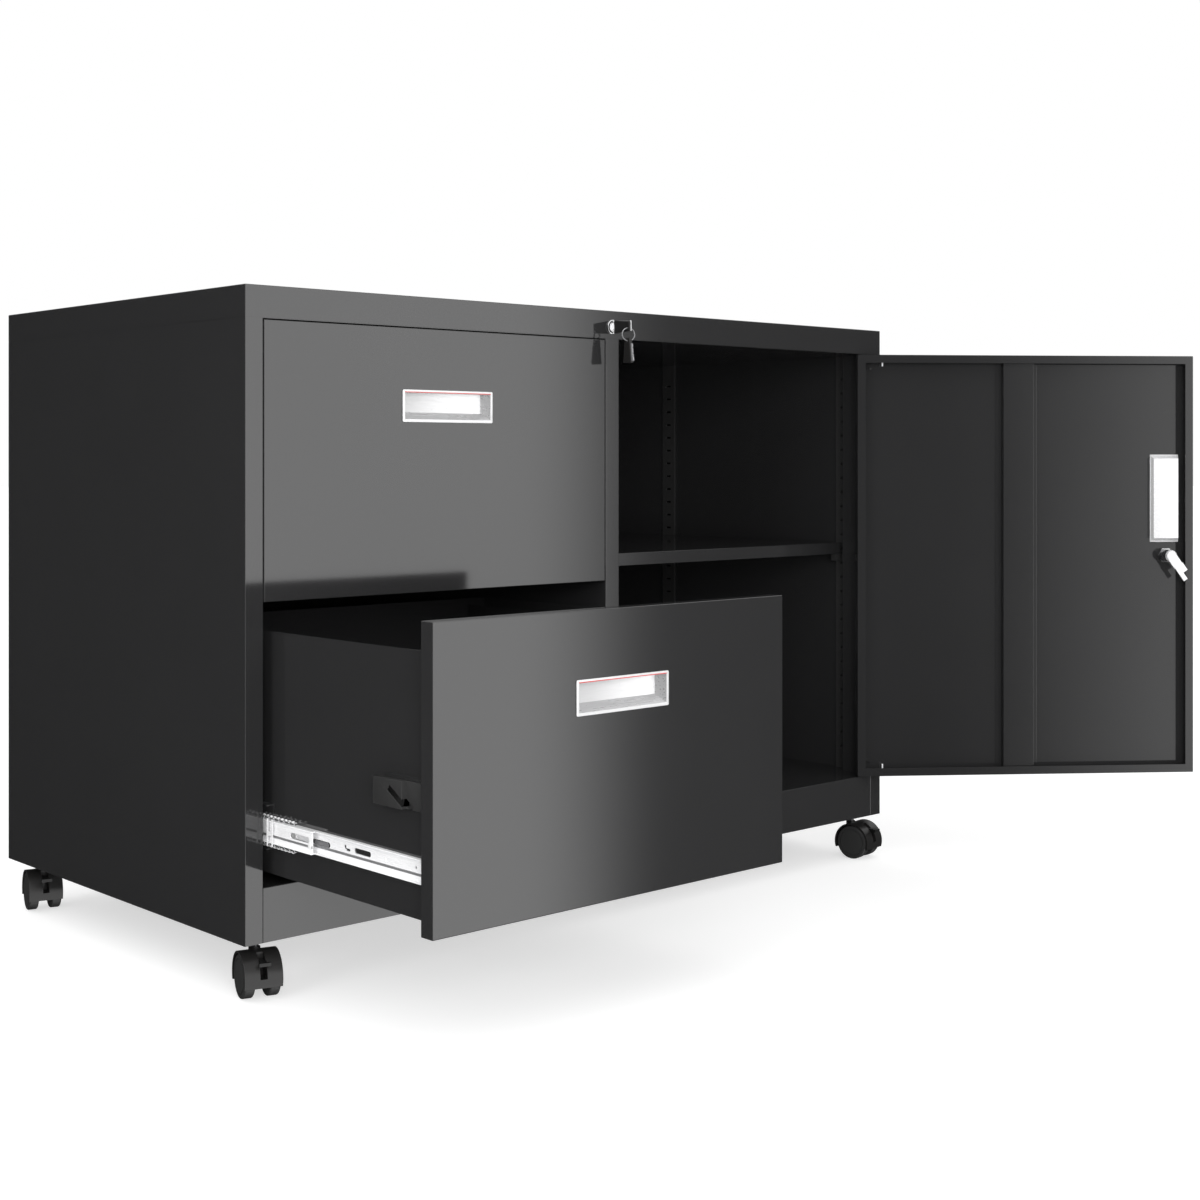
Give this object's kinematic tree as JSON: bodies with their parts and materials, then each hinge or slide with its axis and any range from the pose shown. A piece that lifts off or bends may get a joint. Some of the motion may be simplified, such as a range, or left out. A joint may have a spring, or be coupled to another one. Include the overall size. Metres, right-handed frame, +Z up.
{
  "type": "filing cabinet",
  "caption": "Low black steel cabinet on casters, with file drawers beside a cupboard whose door stands open.",
  "frame": {"origin": "centre of the flat top face of the cabinet", "axes": "+X to the right seen from the front, -Y out of the front, +Z up out of the top face"},
  "size_m": [1.3179, 0.8258, 0.712],
  "materials": {
    "black_enamel": "glossy black stoved enamel",
    "black_bracket": "satin black",
    "chrome_pull": "polished bright plating",
    "zinc_steel": "bright zinc plating",
    "black_plastic": "moulded black",
    "black_tread": "hard black nylon"
  },
  "bodies": {
    "cabinet": {"top_cap": "black_enamel", "ceiling_pan": "black_enamel", "side_panel_left": "black_enamel", "side_panel_right": "black_enamel", "back_panel": "black_enamel", "partition": "black_enamel", "base_pan": "black_enamel", "rear_upright": "black_enamel", "caster_plates": "zinc_steel", "caster_stems": "zinc_steel", "slide_outers": "zinc_steel", "shelf": "black_enamel", "shelf_standards": "black_enamel", "shelf_clips": "zinc_steel", "lock_barrel": "chrome_pull"},
    "lock_core": {"lock_plug": "zinc_steel", "key_blade": "zinc_steel", "key_head": "black_plastic"},
    "spare_key": {"key_ring": "zinc_steel", "spare_key_head": "black_plastic", "spare_key_blade": "zinc_steel"},
    "lock_bar": {"lock_bar": "zinc_steel"},
    "drawer_lower": {"drawer_front_lower": "black_enamel", "drawer_pull_lower": "chrome_pull", "drawer_box_lower": "black_enamel", "file_rails_lower": "black_enamel", "drawer_catch_lower": "black_bracket", "slide_inners_lower": "zinc_steel"},
    "mids_lower": {"slide_mids_lower": "zinc_steel"},
    "cages_outer_lower": {"ball_cages_outer_lower": "zinc_steel"},
    "cages_inner_lower": {"ball_cages_inner_lower": "zinc_steel"},
    "drawer_upper": {"drawer_front_upper": "black_enamel", "drawer_pull_upper": "chrome_pull", "drawer_box_upper": "black_enamel", "file_rails_upper": "black_enamel", "drawer_catch_upper": "black_bracket", "slide_inners_upper": "zinc_steel"},
    "mids_upper": {"slide_mids_upper": "zinc_steel"},
    "cages_outer_upper": {"ball_cages_outer_upper": "zinc_steel"},
    "cages_inner_upper": {"ball_cages_inner_upper": "zinc_steel"},
    "door": {"door_pan": "black_enamel", "door_stiffener": "black_enamel", "door_pull": "chrome_pull", "door_lock_body": "chrome_pull", "hinge_pins": "zinc_steel", "hinge_sleeves": "black_plastic"},
    "door_cam": {"door_lock_cam": "zinc_steel"},
    "swivel_front_left": {"caster_hood_front_left": "black_plastic"},
    "wheels_front_left": {"caster_wheels_front_left": "black_tread"},
    "pedal_front_left": {"caster_pedal_front_left": "black_plastic"},
    "swivel_front_right": {"caster_hood_front_right": "black_plastic"},
    "wheels_front_right": {"caster_wheels_front_right": "black_tread"},
    "pedal_front_right": {"caster_pedal_front_right": "black_plastic"},
    "swivel_rear_left": {"caster_hood_rear_left": "black_plastic"},
    "wheels_rear_left": {"caster_wheels_rear_left": "black_tread"},
    "pedal_rear_left": {"caster_pedal_rear_left": "black_plastic"},
    "swivel_rear_right": {"caster_hood_rear_right": "black_plastic"},
    "wheels_rear_right": {"caster_wheels_rear_right": "black_tread"},
    "pedal_rear_right": {"caster_pedal_rear_right": "black_plastic"}
  },
  "joints": [
    {"name": "key_turn", "type": "hinge", "parent": "cabinet", "child": "lock_core", "pos_m": [-0.0006, -0.269, -0.019], "axis": [0, 1, 0], "range_deg": [0, 90]},
    {"name": "spare_key_swing", "type": "hinge", "parent": "lock_core", "child": "spare_key", "pos_m": [-0.0006, -0.2964, -0.0212], "axis": [1, 0, 0], "range_deg": [-15, 15]},
    {"name": "lock_bar_slide", "type": "slide", "parent": "cabinet", "child": "lock_bar", "axis": [0, 0, -1], "range_m": [0, 0.01]},
    {"name": "drawer_slide_lower", "type": "slide", "parent": "cabinet", "child": "drawer_lower", "axis": [0, -1, 0], "range_m": [-0.2763, 0.1537]},
    {"name": "mids_slide_lower", "type": "slide", "parent": "cabinet", "child": "mids_lower", "axis": [0, -1, 0], "range_m": [-0.13815, 0.07685]},
    {"name": "cages_outer_slide_lower", "type": "slide", "parent": "cabinet", "child": "cages_outer_lower", "axis": [0, -1, 0], "range_m": [-0.06907, 0.03843]},
    {"name": "cages_inner_slide_lower", "type": "slide", "parent": "cabinet", "child": "cages_inner_lower", "axis": [0, -1, 0], "range_m": [-0.20722, 0.11528]},
    {"name": "drawer_slide_upper", "type": "slide", "parent": "cabinet", "child": "drawer_upper", "axis": [0, -1, 0], "range_m": [0, 0.43]},
    {"name": "mids_slide_upper", "type": "slide", "parent": "cabinet", "child": "mids_upper", "axis": [0, -1, 0], "range_m": [0, 0.215]},
    {"name": "cages_outer_slide_upper", "type": "slide", "parent": "cabinet", "child": "cages_outer_upper", "axis": [0, -1, 0], "range_m": [0, 0.1075]},
    {"name": "cages_inner_slide_upper", "type": "slide", "parent": "cabinet", "child": "cages_inner_upper", "axis": [0, -1, 0], "range_m": [0, 0.3225]},
    {"name": "door_hinge", "type": "hinge", "parent": "cabinet", "child": "door", "pos_m": [0.463, -0.2656, -0.3], "axis": [0, 0, 1], "range_deg": [-142, 4]},
    {"name": "door_cam_turn", "type": "hinge", "parent": "door", "child": "door_cam", "pos_m": [0.79535, -0.52094, -0.305], "axis": [-0.6157, -0.788, 0], "range_deg": [-35, 55]},
    {"name": "swivel_turn_front_left", "type": "hinge", "parent": "cabinet", "child": "swivel_front_left", "pos_m": [-0.4675, -0.241, -0.66], "axis": [0, 0, 1], "continuous": true},
    {"name": "wheels_roll_front_left", "type": "hinge", "parent": "swivel_front_left", "child": "wheels_front_left", "pos_m": [-0.47095, -0.25249, -0.69], "axis": [0.9578, -0.2874, 0], "continuous": true},
    {"name": "brake_pedal_front_left", "type": "hinge", "parent": "swivel_front_left", "child": "pedal_front_left", "pos_m": [-0.47425, -0.26351, -0.6734], "axis": [0.9578, -0.2874, 0], "range_deg": [0, 15]},
    {"name": "swivel_turn_front_right", "type": "hinge", "parent": "cabinet", "child": "swivel_front_right", "pos_m": [0.4675, -0.241, -0.66], "axis": [0, 0, 1], "continuous": true},
    {"name": "wheels_roll_front_right", "type": "hinge", "parent": "swivel_front_right", "child": "wheels_front_right", "pos_m": [0.46938, -0.25285, -0.69], "axis": [0.9877, 0.1564, 0], "continuous": true},
    {"name": "brake_pedal_front_right", "type": "hinge", "parent": "swivel_front_right", "child": "pedal_front_right", "pos_m": [0.47118, -0.26421, -0.6734], "axis": [0.9877, 0.1564, 0], "range_deg": [0, 15]},
    {"name": "swivel_turn_rear_left", "type": "hinge", "parent": "cabinet", "child": "swivel_rear_left", "pos_m": [-0.4675, 0.241, -0.66], "axis": [0, 0, 1], "continuous": true},
    {"name": "wheels_roll_rear_left", "type": "hinge", "parent": "swivel_rear_left", "child": "wheels_rear_left", "pos_m": [-0.47067, 0.22942, -0.69], "axis": [0.9646, -0.2639, 0], "continuous": true},
    {"name": "brake_pedal_rear_left", "type": "hinge", "parent": "swivel_rear_left", "child": "pedal_rear_left", "pos_m": [-0.4737, 0.21833, -0.6734], "axis": [0.9646, -0.2639, 0], "range_deg": [0, 15]},
    {"name": "swivel_turn_rear_right", "type": "hinge", "parent": "cabinet", "child": "swivel_rear_right", "pos_m": [0.4675, 0.241, -0.66], "axis": [0, 0, 1], "continuous": true},
    {"name": "wheels_roll_rear_right", "type": "hinge", "parent": "swivel_rear_right", "child": "wheels_rear_right", "pos_m": [0.46262, 0.23004, -0.69], "axis": [0.9135, -0.4067, 0], "continuous": true},
    {"name": "brake_pedal_rear_right", "type": "hinge", "parent": "swivel_rear_right", "child": "pedal_rear_right", "pos_m": [0.45794, 0.21953, -0.6734], "axis": [0.9135, -0.4067, 0], "range_deg": [0, 15]}
  ],
  "couplings": [
    {"joint": "key_turn", "follows": "lock_bar_slide", "rad_per_m": 157.08},
    {"joint": "mids_slide_lower", "follows": "drawer_slide_lower", "ratio": 0.5},
    {"joint": "cages_outer_slide_lower", "follows": "drawer_slide_lower", "ratio": 0.25},
    {"joint": "cages_inner_slide_lower", "follows": "drawer_slide_lower", "ratio": 0.75},
    {"joint": "mids_slide_upper", "follows": "drawer_slide_upper", "ratio": 0.5},
    {"joint": "cages_outer_slide_upper", "follows": "drawer_slide_upper", "ratio": 0.25},
    {"joint": "cages_inner_slide_upper", "follows": "drawer_slide_upper", "ratio": 0.75}
  ]
}
